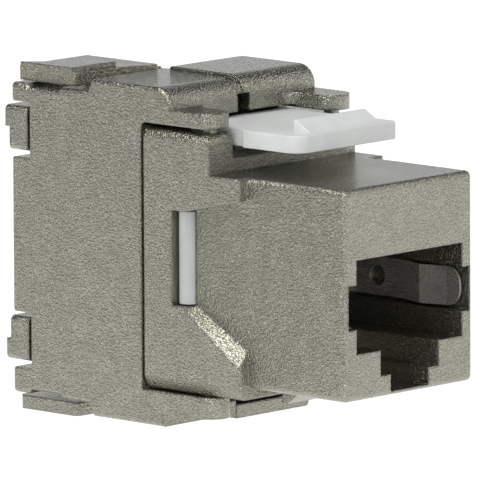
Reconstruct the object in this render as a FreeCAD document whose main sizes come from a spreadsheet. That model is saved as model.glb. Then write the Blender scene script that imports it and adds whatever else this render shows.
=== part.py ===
"""Shielded keystone jack with two hinged wings, as one parametric document.

The row frame has its origin at the middle of the plug opening, in the plane of the front face:
+X to the right as seen from the front, +Y from the front face to the cable end, +Z up.
Everything is drawn in a bench frame whose height zero is the underside of the front block. The
last step lowers each piece by port_axis, which brings the plug opening's middle to the origin.
"""
import FreeCAD, Part
import os
import re

import Sketcher
from FreeCAD import Vector

# Driving dimensions in millimetres: name, value, what it sets.
SIZES = [
    ("block_width", 14.7, "front block, side to side"),
    ("block_height", 16.6, "front block, underside to top"),
    ("block_depth", 10.3, "front face to the shoulder"),
    ("block_round", 0.5, "rounding of the front block's long edges"),
    ("shoulder", 1.05, "how far the rear body stands out on each side"),
    ("body_length", 20.6, "front face to the rear of the housing"),
    ("body_round", 0.3, "rounding of the rear body's upright edges"),
    ("under_drop", 0.85, "rear body below the front block's underside"),
    ("bevel_across", 0.6, "bevel along the rear body's lower edges, sideways"),
    ("bevel_up", 1.0, "the same bevel, upwards"),
    ("ear_front", 13.4, "front face to the ears and the sill"),
    ("ear_width", 2.7, "one ear, side to side"),
    ("ear_height", 3.15, "ears above the front block"),
    ("ear_round", 0.8, "rounding of the ears' upper edges"),
    ("sill_height", 1.45, "sill between the ears, above the front block"),
    ("sill_bevel", 0.4, "bevel of the sill's front edge"),
    ("hinge_back", 14.6, "front face to the hinge axes"),
    ("knuckle_radius", 1.45, "round end of each wing arm"),
    ("peg_radius", 0.6, "hinge pegs"),
    ("peg_gap", 0.05, "radial clearance of the pegs"),
    ("peg_end_gap", 0.2, "clearance under the end of a peg"),
    ("upper_peg", 2.4, "length of the upper pegs"),
    ("lower_peg", 1.2, "length of the lower pegs"),
    ("port_axis", 7.37, "height of the plug opening's middle"),
    ("port_width", 12.2, "plug opening"),
    ("port_height", 7.36, "plug opening"),
    ("port_depth", 13.0, "front face to the plug's stop"),
    ("tab_width", 6.74, "upper step for the plug's tab"),
    ("tab_drop", 2.0, "that step, downwards"),
    ("key_width", 4.4, "lower step for the plug's tab"),
    ("key_drop", 1.36, "that step, downwards"),
    ("tab_length", 9.4, "how far back the two steps run"),
    ("window_width", 13.96, "plug opening over the side windows"),
    ("window_height", 3.5, "side windows"),
    ("window_length", 12.4, "how far back the side windows run"),
    ("front_wall", 1.8, "housing wall in front of the contact tongue"),
    ("room_front", 14.4, "front face to the rear room"),
    ("side_wall", 1.8, "rear body's side walls"),
    ("room_floor", 1.0, "height of the rear room's floor"),
    ("room_ceiling", 15.4, "height of the rear room's ceiling"),
    ("tongue_width", 11.4, "contact tongue"),
    ("tongue_low", 11.6, "height of the tongue's underside"),
    ("tongue_top", 14.3, "height of the tongue's top"),
    ("fit_gap", 0.1, "clearance between inner pieces and the housing"),
    ("recess_back", 15.85, "front face to the rear edge of the side recesses"),
    ("recess_high_front", 14.85, "upper edge of a recess, at the shoulder"),
    ("recess_high_back", 13.5, "upper edge of a recess, at its rear"),
    ("recess_low_front", 2.9, "lower edge of a recess, at the shoulder"),
    ("recess_low_back", 6.0, "lower edge of a recess, at its rear"),
    ("ramp_drop", 1.35, "ramp along the lower edge of a recess, at the shoulder"),
    ("ramp_run", 0.15, "how far that ramp reaches past the recess, at its rear"),
    ("ramp_back_drop", 0.35, "the same ramp, at its rear"),
    ("slot_width", 1.65, "upright slot at the rear of a recess"),
    ("rib_inset", 0.4, "rib in the slot, below the rear body's side"),
    ("catch_width", 10.4, "fixed catch under the front block"),
    ("catch_back", 8.7, "front face to the back of the fixed catch"),
    ("catch_run", 2.1, "length of the fixed catch"),
    ("catch_land", 0.5, "flat foot of the fixed catch"),
    ("catch_drop", 1.2, "fixed catch below the front block"),
    ("latch_width", 10.7, "spring latch"),
    ("latch_front", 6.8, "front face to the tip of the latch"),
    ("latch_length", 11.4, "spring latch, tip to tail"),
    ("latch_thick", 1.4, "spring latch plate"),
    ("latch_lift", 0.45, "gap between the sill and the latch plate"),
    ("latch_corner", 1.3, "round front corners of the latch"),
    ("hook_width", 7.8, "catch on the latch"),
    ("hook_back", 8.7, "front face to the upright back of that catch"),
    ("hook_height", 1.0, "catch above the latch plate"),
    ("hook_toe", 0.25, "tip of the latch to the foot of that catch"),
    ("foot_width", 6.4, "foot of the latch"),
    ("foot_back", 17.3, "front face to the back of the foot"),
    ("foot_length", 1.8, "foot, front to back"),
    ("foot_depth", 1.9, "foot below the latch plate"),
    ("foot_gap", 0.3, "clearance round the foot"),
    ("carrier_width", 11.2, "block of the contact carrier"),
    ("carrier_low", 1.2, "height of the inner pieces' underside"),
    ("carrier_high", 15.2, "height of the inner pieces' top"),
    ("board_front", 17.0, "front face to the circuit board"),
    ("board_thick", 1.6, "circuit board"),
    ("contact_pitch", 1.02, "spacing of the plug contacts"),
    ("contact_width", 0.45, "contact strip, side to side"),
    ("contact_thick", 0.3, "contact strip"),
    ("contact_slot", 0.62, "slots of the tongue"),
    ("contact_line", 13.6, "height of the contacts' upper run"),
    ("contact_turn", 0.65, "bend of the contacts, to their middle"),
    ("contact_front", 3.9, "front face to the middle of that bend"),
    ("contact_tip_back", 10.4, "front face to the contacts' free tips"),
    ("contact_tip_height", 8.5, "height of the free tips"),
    ("solder_stub", 0.3, "contact ends behind the board"),
    ("holder_front", 19.0, "front face to the blade holder"),
    ("holder_length", 5.2, "blade holder, without its side arms"),
    ("arm_thick", 0.75, "side arms of the blade holder"),
    ("blade_axis", 9.0, "height midway between the two rows of blades"),
    ("blade_rise", 3.6, "rows above and below that height"),
    ("blade_pitch", 2.8, "spacing of the blades in a row"),
    ("blade_width", 1.6, "one blade"),
    ("blade_thick", 0.4, "one blade"),
    ("blade_back", 27.6, "front face to the tips of the blades"),
    ("blade_fork", 2.2, "depth of the fork in a blade"),
    ("blade_slit", 0.35, "width of the fork"),
    ("pin_width", 0.5, "solder pin of a blade"),
    ("blade_gap", 0.05, "clearance of a blade in the holder"),
    ("cap_side_gap", 0.2, "gap between the wire cap and the line of the rear room"),
    ("cap_height", 17.6, "wire cap"),
    ("cap_gap", 0.1, "gap between the blade holder and the wire cap"),
    ("cap_clearance", 0.4, "gap between the wire cap and the rear fingers"),
    ("cap_round", 1.2, "rounding of the wire cap's long edges"),
    ("cable_bore", 3.9, "radius of the cable room in the wire cap"),
    ("wire_groove", 1.1, "grooves for the wires"),
    ("spring_thick", 0.2, "shield springs"),
    ("spring_height", 3.1, "shield springs"),
    ("spring_front", 0.7, "front face to the tip of a shield spring"),
    ("spring_flat", 6.8, "front face to where a spring lies on its wall"),
    ("spring_bow", 0.85, "how far a spring bows off its wall"),
    ("spring_hole", 0.8, "radius of the hole in a spring"),
    ("spring_round", 1.4, "rounding of a spring's tip"),
    ("spring_lift", 1.5, "tip of a spring to where it leaves the wall"),
    ("spring_crown", 3.7, "tip of a spring to the crown of its bow"),
    ("wing_wall", 1.1, "wall of the wings"),
    ("wing_length", 34.85, "front face to the rear of the wings"),
    ("wing_gap", 0.15, "gap between the housing and the wing panels"),
    ("wing_rise", 6.4, "left wing above the front block"),
    ("wing_drop", 3.8, "left wing below the front block's underside"),
    ("seam_gap", 0.1, "gap between the two wings"),
    ("right_rise", 0.2, "right wing above the left one"),
    ("right_drop", 0.4, "right wing below the left one"),
    ("deck_length", 9.25, "right wing's lower deck, front to back"),
    ("deck_drop", 1.8, "that deck below the right wing's top"),
    ("root_width", 1.3, "root that carries the upper lap, from the middle plane"),
    ("root_drop", 0.35, "that root below the upper lap"),
    ("lap_end", 0.3, "upper lap beyond the middle plane"),
    ("lap_step", 1.0, "left wing set down under the right wing's laps"),
    ("step_depth", 8.75, "top of that step, ahead of the wings' rear"),
    ("step_run", 0.5, "slope of that step"),
    ("dip_depth", 5.4, "hollow behind that step, ahead of the wings' rear"),
    ("dip_length", 3.8, "that hollow, front to back"),
    ("dip_drop", 0.3, "depth and slope of that hollow"),
    ("lap_clearance", 0.12, "laps beyond the left wing's swing"),
    ("lap_inset", 0.8, "laps short of the left wing's side"),
    ("lip_front", 17.5, "front face to the wings' front lip"),
    ("lip_gap", 0.5, "gap between the latch plate and the lip"),
    ("lip_round", 1.6, "rounding of the lip"),
    ("skirt_front", 18.5, "front face to the wings' lower wall"),
    ("arm_width", 2.9, "wing arms, side to side"),
    ("upper_arm_gap", 0.4, "gap between the ears and the upper arms"),
    ("upper_arm_thick", 1.2, "upper arms"),
    ("lower_arm_gap", 0.15, "gap between the rear body and the lower arms"),
    ("lower_arm_thick", 1.7, "lower arms"),
    ("arm_fillet", 1.2, "hollow between an upper arm and the lip"),
    ("finger_rise", 1.7, "middle of the upper rear finger above the front block"),
    ("finger_low", 1.5, "height of the lower rear finger's middle"),
    ("finger_height", 3.55, "rear fingers"),
    ("finger_gap", 0.45, "gap above and below a finger in its notch"),
    ("finger_sunk", 1.55, "fingers' inner side ahead of the wings' rear"),
    ("finger_thick", 1.95, "rear fingers"),
    ("finger_inset", 0.25, "fingers short of the left wing's side"),
    ("notch_gap", 0.55, "gap between a finger's inner side and its notch"),
    ("notch_flare", 0.35, "bevel of the notches' rear corners"),
    ("bulge_height", 1.7, "raised pad on a finger"),
    ("bulge_proud", 0.45, "that pad above the finger"),
    ("pad_proud", 0.35, "raised pad on the right wing's upper lap"),
    ("pad_margin", 0.35, "that pad's rear corner ahead of the wings' rear"),
    ("pad_length", 5.6, "that pad, front to back"),
    ("pad_seam", 2.6, "middle plane to that pad's inner corner"),
    ("cable_radius", 4.2, "cable opening between the wings"),
    ("cable_height", 9.0, "height of the cable opening's middle"),
    ("wing_round", 0.35, "rounding of the wings' outer edges"),
    ("finger_round", 0.45, "rounding of the fingers' ends and of the laps' corners"),
    ("seam_notch", 1.4, "square notch across the seam, in the lip"),
    ("window_round", 0.5, "upper corner between an arm and the panel"),
]
CONTACTS = 8
BLADE_COLUMNS = 4
LAP_FACETS = 4
BEND_START, BEND_END = 1.5708, 4.2  # a contact's bend, in radians from the row's +Y

DOC = FreeCAD.newDocument("keystone_jack")
DIMS = DOC.addObject("Spreadsheet::Sheet", "Dims")
for row, (alias, size, meaning) in enumerate(SIZES, start=1):
    DIMS.set(f"A{row}", meaning)
    DIMS.set(f"B{row}", str(size))
    DIMS.setAlias(f"B{row}", alias)
DOC.recompute()

# Places that several pieces share, as text for the expression engine.
HALF_BLOCK = "block_width / 2"
HALF_BODY = "(block_width / 2 + shoulder)"
HINGE_SIDE = "(block_width / 2 + shoulder - knuckle_radius)"
EAR_TOP = "(block_height + ear_height)"
SILL_TOP = "(block_height + sill_height)"
PORT_LOW = "(port_axis - port_height / 2)"
PORT_HIGH = "(port_axis + port_height / 2)"
LATCH_LOW = "(block_height + sill_height + latch_lift)"
LATCH_TOP = "(block_height + sill_height + latch_lift + latch_thick)"
LIP_LOW = "(block_height + sill_height + latch_lift + latch_thick + lip_gap)"
ROOM_SIDE = "(block_width / 2 + shoulder - side_wall)"
CONTACT_TOP = "(contact_line + contact_thick / 2)"
PANEL_FRONT = "(body_length + wing_gap)"
UPPER_ARM_LOW = "(block_height + ear_height + upper_arm_gap)"
LOWER_ARM_TOP = "(-under_drop - lower_arm_gap)"
LOWER_ARM_LOW = "(-under_drop - lower_arm_gap - lower_arm_thick)"
WING_TOP = "(block_height + wing_rise)"
WALL_BACK = "(wing_length - wing_wall)"
DECK_FRONT = "(wing_length - deck_length)"
STEP_FRONT = "(wing_length - step_depth)"
STEP_BACK = "(wing_length - step_depth + step_run)"
LAP_REACH = f"(sqrt({HINGE_SIDE} ^ 2 + ({STEP_BACK} - hinge_back) ^ 2) + lap_clearance)"
FINGER_HIGH = "(block_height + finger_rise)"
FINGER_FRONT = "(wing_length - finger_sunk)"
CAP_BACK = "(wing_length - finger_sunk - cap_clearance)"
ARM_SIDE = "(block_width / 2 + shoulder - arm_width)"
LEFT, RIGHT = "-1", "1"


def cells(text):
    """Write every size name in an expression as a reference to its cell."""
    names = {alias for alias, _, _ in SIZES}
    return re.sub(r"[a-z_]+", lambda word: f"Dims.{word[0]}" if word[0] in names else word[0], text)


def number(text):
    """Value of an expression on the sheet."""
    return float(DIMS.evalExpression(cells(str(text))))


def rectangle(left, right, low, high):
    """Corners of a rectangle, as expressions."""
    return [(left, low), (right, low), (right, high), (left, high)]


def centred(width, low, high):
    """Corners of a rectangle that is centred across."""
    return rectangle(f"-({width}) / 2", f"({width}) / 2", low, high)


def new_body(label):
    """An empty body that carries its node's name."""
    body = DOC.addObject("PartDesign::Body", label)
    body.Label = label
    return body


def empty_sketch(body, plane, start):
    """A sketch on one of the body's origin planes, moved by start along the plane's own axis."""
    sketch = body.newObject("Sketcher::SketchObject", "Sketch")
    support = next(item for item in body.Origin.OriginFeatures if item.Role == plane)
    sketch.AttachmentSupport = [(support, "")]
    sketch.MapMode = "FlatFace"
    sign = "-" if plane == "XZ_Plane" else ""  # that plane's normal is -Y
    sketch.setExpression("AttachmentOffset.Base.z", cells(f"{sign}({start})"))
    return sketch


def place_point(sketch, geometry, point, across, along):
    """Fix one point of a sketch at a pair of expressions."""
    for direction, text in (("DistanceX", across), ("DistanceY", along)):
        index = sketch.addConstraint(
            Sketcher.Constraint(direction, -1, 1, geometry, point, number(text)))
        sketch.setExpression(f"Constraints[{index}]", cells(str(text)))


def draw_loop(sketch, corners):
    """Draw a closed loop of straight edges."""
    first = sketch.GeometryCount
    count = len(corners)
    points = [Vector(number(across), number(along), 0) for across, along in corners]
    for k in range(count):
        sketch.addGeometry(Part.LineSegment(points[k], points[(k + 1) % count]))
    for k, (across, along) in enumerate(corners):
        sketch.addConstraint(
            Sketcher.Constraint("Coincident", first + k, 2, first + (k + 1) % count, 1))
        place_point(sketch, first + k, 1, across, along)


def draw_circle(sketch, across, along, radius):
    """Draw a circle."""
    centre = Vector(number(across), number(along), 0)
    circle = sketch.addGeometry(Part.Circle(centre, Vector(0, 0, 1), number(radius)))
    place_point(sketch, circle, 3, across, along)
    index = sketch.addConstraint(Sketcher.Constraint("Radius", circle, number(radius)))
    sketch.setExpression(f"Constraints[{index}]", cells(radius))


def prism(kind, body, plane, start, depth, loops):
    """Pad or pocket some loops from start, towards the positive end of the plane's axis.

    A loop is a list of corners, or a tuple of centre and radius for a circle.
    """
    sketch = empty_sketch(body, plane, start)
    for loop in loops:
        if isinstance(loop, tuple):
            draw_circle(sketch, *loop)
        else:
            draw_loop(sketch, loop)
    feature = body.newObject(f"PartDesign::{kind}", kind)
    feature.Profile = sketch
    feature.setExpression("Length", cells(f"({depth})"))
    feature.Reversed = (plane == "XZ_Plane") == (kind == "Pad")
    DOC.recompute()
    return feature


def pad(body, plane, start, depth, *loops):
    """Add material."""
    return prism("Pad", body, plane, start, depth, loops)


def pocket(body, plane, start, depth, *loops):
    """Cut material away."""
    return prism("Pocket", body, plane, start, depth, loops)


def tapered_pocket(body, plane, start, floor, end, mouth):
    """Cut a recess whose outline changes from floor, at start, to mouth, at end."""
    sections = []
    for height, corners in ((start, floor), (end, mouth)):
        sketch = empty_sketch(body, plane, height)
        draw_loop(sketch, corners)
        sections.append(sketch)
    feature = body.newObject("PartDesign::SubtractiveLoft", "Recess")
    feature.Profile = sections[0]
    feature.Sections = sections[1:]
    DOC.recompute()
    return feature


def sideways(side, near, far):
    """Start and depth of a prism between two distances from the middle plane."""
    start = near if side == RIGHT else f"-({far})"
    return start, f"({far}) - ({near})"


def edges_at(shape, **place):
    """Names of the edges that lie wholly at a place.

    The keys are x, y, z and side, which is x without its sign. A value is an expression, or a
    pair of them for a range.
    """
    limits = {}
    for key, wanted in place.items():
        low, high = wanted if isinstance(wanted, tuple) else (wanted, wanted)
        limits[key] = (number(low) - 1e-4, number(high) + 1e-4)

    def inside(point):
        found = {"x": point.x, "y": point.y, "z": point.z, "side": abs(point.x)}
        return all(low <= found[key] <= high for key, (low, high) in limits.items())

    names = []
    for index, edge in enumerate(shape.Edges, start=1):
        middle = edge.valueAt((edge.FirstParameter + edge.LastParameter) / 2)
        if all(inside(point) for point in (middle, *(v.Point for v in edge.Vertexes))):
            names.append(f"Edge{index}")
    if not names:
        raise ValueError(f"no edge at {place}")
    return names


def dress(kind, body, size, places):
    """Fillet or chamfer the edges at the given places."""
    base = body.Tip
    names = list(dict.fromkeys(name for place in places for name in edges_at(base.Shape, **place)))
    feature = body.newObject(f"PartDesign::{kind}", kind)
    feature.Base = (base, names)
    feature.setExpression("Radius" if kind == "Fillet" else "Size", cells(size))
    DOC.recompute()
    return feature


def fillet(body, radius, *places):
    """Round the edges at the given places."""
    return dress("Fillet", body, radius, places)


def chamfer(body, size, *places):
    """Bevel the edges at the given places."""
    return dress("Chamfer", body, size, places)


def housing_shell(body):
    """Rear body with its bevelled underside, ears and sill, then front block and fixed catch."""
    pad(body, "XZ_Plane", "block_depth", "body_length - block_depth",
        centred(f"2 * {HALF_BODY}", "-under_drop", "block_height"))
    fillet(body, "body_round", dict(side=HALF_BODY, y="block_depth"),
           dict(y="block_depth", z="block_height"))
    pocket(body, "XZ_Plane", "block_depth", "body_length - block_depth", *[[
        (f"{side} * ({HALF_BODY} - bevel_across)", "-under_drop"),
        (f"{side} * {HALF_BODY}", "bevel_up - under_drop"),
        (f"{side} * {HALF_BODY}", "-under_drop"),
    ] for side in (LEFT, RIGHT)])
    for side in (LEFT, RIGHT):
        pad(body, "XZ_Plane", "ear_front", "body_length - ear_front",
            rectangle(f"{side} * {HALF_BODY}", f"{side} * ({HALF_BODY} - ear_width)",
                      "block_height", EAR_TOP))
    pad(body, "XZ_Plane", "ear_front", "body_length - ear_front",
        centred(f"2 * ({HALF_BODY} - ear_width)", "block_height", SILL_TOP))
    fillet(body, "ear_round",
           dict(side=(f"{HALF_BODY} - ear_width", HALF_BODY), z=EAR_TOP, y="ear_front"),
           dict(side=HALF_BODY, z=EAR_TOP))
    fillet(body, "body_round",
           dict(side=HALF_BODY, y="body_length", z=("bevel_up - under_drop", EAR_TOP)))
    chamfer(body, "sill_bevel", dict(y="ear_front", z=SILL_TOP))
    pad(body, "XZ_Plane", "0", "block_depth + body_round",
        centred("block_width", "0", "block_height"))
    fillet(body, "block_round",
           dict(side=HALF_BLOCK, z="block_height", y=("0", "block_depth + body_round")),
           dict(side=HALF_BLOCK, z="0", y=("0", "block_depth")),
           dict(side=HALF_BLOCK, y="0"),
           dict(y="0", z="block_height"),
           dict(y="0", z="0"))
    pad(body, "YZ_Plane", "-catch_width / 2", "catch_width", [
        ("catch_back - catch_run", "0"),
        ("catch_back - catch_land", "-catch_drop"),
        ("catch_back", "-catch_drop"),
        ("catch_back", "0"),
    ])


def housing_recesses(body):
    """Side recesses in the plane of the front block, each with its ramp and upright slot."""
    front = "block_depth - fit_gap"
    floor = [
        (front, "recess_low_front"),
        ("recess_back", "recess_low_back"),
        ("recess_back", "recess_high_back"),
        (front, "recess_high_front"),
    ]
    mouth = [
        (front, "recess_low_front - ramp_drop"),
        ("recess_back + ramp_run", "recess_low_back - ramp_back_drop"),
        ("recess_back + ramp_run", "recess_high_back"),
        (front, "recess_high_front"),
    ]
    for side in (LEFT, RIGHT):
        tapered_pocket(body, "YZ_Plane", f"{side} * {HALF_BLOCK}", floor,
                       f"{side} * {HALF_BODY}", mouth)
        start, depth = sideways(side, ROOM_SIDE, HALF_BODY)
        pocket(body, "YZ_Plane", start, depth,
               rectangle("recess_back", "recess_back + slot_width",
                         "recess_low_back", "recess_high_back"))


def housing_rooms(body):
    """Plug opening with its steps and windows, tongue room, rear room, foot pocket, peg holes."""
    pocket(body, "XZ_Plane", "0", "room_front", centred("port_width", PORT_LOW, PORT_HIGH))
    pocket(body, "XZ_Plane", "0", "window_length",
           centred("window_width", "port_axis - window_height / 2", "port_axis + window_height / 2"))
    pocket(body, "XZ_Plane", "0", "tab_length",
           centred("tab_width", f"{PORT_LOW} - tab_drop", PORT_LOW))
    pocket(body, "XZ_Plane", "0", "tab_length",
           centred("key_width", f"{PORT_LOW} - tab_drop - key_drop", f"{PORT_LOW} - tab_drop"))
    pocket(body, "XZ_Plane", "front_wall", "room_front - front_wall",
           centred("tongue_width + 2 * fit_gap", PORT_HIGH, "tongue_top + fit_gap"))
    pocket(body, "XZ_Plane", "room_front", "body_length - room_front",
           centred(f"2 * {ROOM_SIDE}", "room_floor", "room_ceiling"))
    pocket(body, "XY_Plane", f"{LATCH_LOW} - foot_depth - foot_gap", "foot_depth",
           centred("foot_width + 2 * foot_gap", "foot_back - foot_length - foot_gap",
                   "foot_back + foot_gap"))
    for side in (LEFT, RIGHT):
        hole = (f"{side} * {HINGE_SIDE}", "hinge_back", "peg_radius + peg_gap")
        depth = "upper_peg + peg_end_gap - upper_arm_gap"
        pocket(body, "XY_Plane", f"{EAR_TOP} - ({depth})", depth, hole)
        pocket(body, "XY_Plane", "-under_drop", "lower_peg + peg_end_gap - lower_arm_gap", hole)


def make_housing():
    """Die-cast housing."""
    body = new_body("housing")
    housing_shell(body)
    housing_recesses(body)
    housing_rooms(body)
    return body


def make_latch():
    """Spring latch: a plate with a catch on it and a foot that sits in the housing."""
    body = new_body("latch")
    pad(body, "XY_Plane", LATCH_LOW, "latch_thick",
        centred("latch_width", "latch_front", "latch_front + latch_length"))
    fillet(body, "latch_corner", dict(side="latch_width / 2", y="latch_front"))
    pad(body, "YZ_Plane", "-hook_width / 2", "hook_width", [
        ("latch_front + hook_toe", LATCH_TOP),
        ("hook_back", LATCH_TOP),
        ("hook_back", f"{LATCH_TOP} + hook_height"),
    ])
    pad(body, "XY_Plane", f"{LATCH_LOW} - foot_depth", "foot_depth",
        centred("foot_width", "foot_back - foot_length", "foot_back"))
    return body


def make_carrier():
    """Contact carrier: a block with the plug's stop and a slotted tongue over the plug."""
    body = new_body("contact_carrier")
    pad(body, "XZ_Plane", "room_front + fit_gap", "board_front - room_front - fit_gap",
        centred("carrier_width", "carrier_low", "carrier_high"))
    pad(body, "XZ_Plane", "port_depth", "room_front + fit_gap - port_depth",
        centred("port_width - 2 * fit_gap", f"{PORT_LOW} + fit_gap", f"{PORT_HIGH} - fit_gap"))
    pad(body, "XZ_Plane", "front_wall + fit_gap", "room_front - front_wall",
        centred("tongue_width", "tongue_low", "tongue_top"))
    slots = []
    for k in range(CONTACTS):
        middle = f"({k} - {(CONTACTS - 1) / 2}) * contact_pitch"
        slots.append(rectangle(f"{middle} - contact_slot / 2", f"{middle} + contact_slot / 2",
                               f"{PORT_HIGH} - fit_gap", CONTACT_TOP))
    pocket(body, "XZ_Plane", "contact_front - 2 * contact_turn", "board_front", *slots)
    return body


def make_contact(index):
    """One plug contact: a strip that runs forward, turns round and slopes back to its free tip."""
    body = new_body(f"contact_{index + 1}")
    middle = f"({index} - {(CONTACTS - 1) / 2}) * contact_pitch"
    start = number("board_front + board_thick + solder_stub")
    line, turn, front = number("contact_line"), number("contact_turn"), number("contact_front")
    tip = Vector(number("contact_tip_back"), number("contact_tip_height"), 0)
    centre = Vector(front, line - turn, 0)

    path = empty_sketch(body, "YZ_Plane", middle)
    circle = Part.Circle(centre, Vector(0, 0, 1), turn)
    bend = Part.ArcOfCircle(circle, BEND_START, BEND_END)
    run = path.addGeometry(Part.LineSegment(Vector(start, line, 0), Vector(front, line, 0)))
    arc = path.addGeometry(bend)
    slope = path.addGeometry(Part.LineSegment(bend.EndPoint, tip))
    path.addConstraint(Sketcher.Constraint("Tangent", run, 2, arc, 1))
    path.addConstraint(Sketcher.Constraint("Tangent", arc, 2, slope, 1))
    place_point(path, run, 1, "board_front + board_thick + solder_stub", "contact_line")
    place_point(path, arc, 3, "contact_front", "contact_line - contact_turn")
    place_point(path, slope, 2, "contact_tip_back", "contact_tip_height")
    radius = path.addConstraint(Sketcher.Constraint("Radius", arc, turn))
    path.setExpression(f"Constraints[{radius}]", cells("contact_turn"))

    section = empty_sketch(body, "XZ_Plane", "board_front + board_thick + solder_stub")
    draw_loop(section, rectangle(f"{middle} - contact_width / 2", f"{middle} + contact_width / 2",
                                 "contact_line - contact_thick / 2", CONTACT_TOP))
    strip = body.newObject("PartDesign::AdditivePipe", "Strip")
    strip.Profile = section
    strip.Spine = (path, [])
    return body


def blade_places():
    """Middle of every blade, across and up, by row and column."""
    for rise in ("blade_axis + blade_rise", "blade_axis - blade_rise"):
        for column in range(BLADE_COLUMNS):
            yield f"({column} - {(BLADE_COLUMNS - 1) / 2}) * blade_pitch", f"({rise})"


def around(place, width, height):
    """Rectangle of a given width and height round a place."""
    across, up = place
    return rectangle(f"{across} - ({width}) / 2", f"{across} + ({width}) / 2",
                     f"{up} - ({height}) / 2", f"{up} + ({height}) / 2")


def make_board():
    """Circuit board with a hole for every contact and every blade."""
    body = new_body("circuit_board")
    holes = [around((f"({k} - {(CONTACTS - 1) / 2}) * contact_pitch", "contact_line"),
                    "contact_width + fit_gap", "contact_thick + fit_gap")
             for k in range(CONTACTS)]
    holes += [around(place, "pin_width + fit_gap", "blade_thick + fit_gap")
              for place in blade_places()]
    pad(body, "XZ_Plane", "board_front", "board_thick",
        centred("carrier_width", "carrier_low", "carrier_high"), *holes)
    return body


def make_blade_holder():
    """Blade holder: a block with slots, and two side arms whose ribs fill the housing's slots."""
    body = new_body("blade_holder")
    pad(body, "XZ_Plane", "holder_front", "holder_length",
        centred(f"2 * ({ROOM_SIDE} - fit_gap)", "carrier_low", "carrier_high"))
    arm_out = f"({ROOM_SIDE} - fit_gap)"
    for side in (LEFT, RIGHT):
        pad(body, "XZ_Plane", "recess_back", "holder_front - recess_back",
            rectangle(f"{side} * {arm_out}", f"{side} * ({arm_out} - arm_thick)",
                      "recess_low_back + fit_gap", "recess_high_back - fit_gap"))
        rib_side = f"{side} * ({HALF_BODY} - rib_inset - slot_width / 2 + fit_gap / 2)"
        rib_back = "recess_back + slot_width / 2"
        rib_height = "recess_high_back - recess_low_back - 2 * fit_gap"
        pad(body, "XY_Plane", "recess_low_back + fit_gap", rib_height,
            rectangle(f"{side} * ({arm_out} - arm_thick / 2)", rib_side,
                      "recess_back + fit_gap / 2", "recess_back + slot_width - fit_gap / 2"))
        pad(body, "XY_Plane", "recess_low_back + fit_gap", rib_height,
            (rib_side, rib_back, "slot_width / 2 - fit_gap / 2"))
    pocket(body, "XZ_Plane", "holder_front", "holder_length", *[
        around(place, "blade_width + 2 * blade_gap", "blade_thick + 2 * blade_gap")
        for place in blade_places()])
    pocket(body, "XZ_Plane", "holder_front", "solder_stub", centred(
        f"{CONTACTS} * contact_pitch", "contact_line - contact_thick", "contact_line + contact_thick"))
    return body


def make_blade(index, place):
    """One cutting blade: a solder pin, a flat body and a fork that opens to the rear."""
    body = new_body(f"blade_{index + 1}")
    across, up = place
    half, slit, pin = "blade_width / 2", "blade_slit / 2", "pin_width / 2"
    outline = [
        (f"{across} - {pin}", "board_front + fit_gap"),
        (f"{across} + {pin}", "board_front + fit_gap"),
        (f"{across} + {pin}", "holder_front"),
        (f"{across} + {half}", "holder_front"),
        (f"{across} + {half}", "blade_back"),
        (f"{across} + {half} / 2 + {slit}", "blade_back"),
        (f"{across} + {slit}", f"blade_back - {half}"),
        (f"{across} + {slit}", "blade_back - blade_fork"),
        (f"{across} - {slit}", "blade_back - blade_fork"),
        (f"{across} - {slit}", f"blade_back - {half}"),
        (f"{across} - {half} / 2 - {slit}", "blade_back"),
        (f"{across} - {half}", "blade_back"),
        (f"{across} - {half}", "holder_front"),
        (f"{across} - {pin}", "holder_front"),
    ]
    pad(body, "XY_Plane", f"{up} - blade_thick / 2", "blade_thick", outline)
    return body


def make_wire_cap():
    """Wire cap: a block with a room for the cable end, blade pockets and wire grooves."""
    body = new_body("wire_cap")
    front = "(holder_front + holder_length + cap_gap)"
    side = f"({ROOM_SIDE} - cap_side_gap)"
    low, high = "blade_axis - cap_height / 2", "blade_axis + cap_height / 2"
    pad(body, "XZ_Plane", front, f"{CAP_BACK} - {front}", centred(f"2 * {side}", low, high))
    fillet(body, "cap_round", dict(side=side, z=high), dict(side=side, z=low))
    room = "(blade_back + fit_gap)"
    pocket(body, "XZ_Plane", room, f"{CAP_BACK} - {room}", ("0", "cable_height", "cable_bore"))
    pocket(body, "XZ_Plane", front, f"{room} - {front}",
           *[around(place, "blade_width + 4 * blade_gap", "blade_thick + 4 * blade_gap")
             for place in blade_places()])
    for up, rise in ((RIGHT, "blade_axis + blade_rise"), (LEFT, "blade_axis - blade_rise")):
        grooves = []
        for column in range(BLADE_COLUMNS):
            middle = f"({column} - {(BLADE_COLUMNS - 1) / 2}) * blade_pitch"
            grooves.append(rectangle(f"{middle} - wire_groove / 2", f"{middle} + wire_groove / 2",
                                     f"{rise} - ({up}) * wire_groove",
                                     f"blade_axis + ({up}) * cap_height / 2"))
        pocket(body, "XZ_Plane", "blade_back - blade_fork", "wire_groove", *grooves)
    return body


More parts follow.
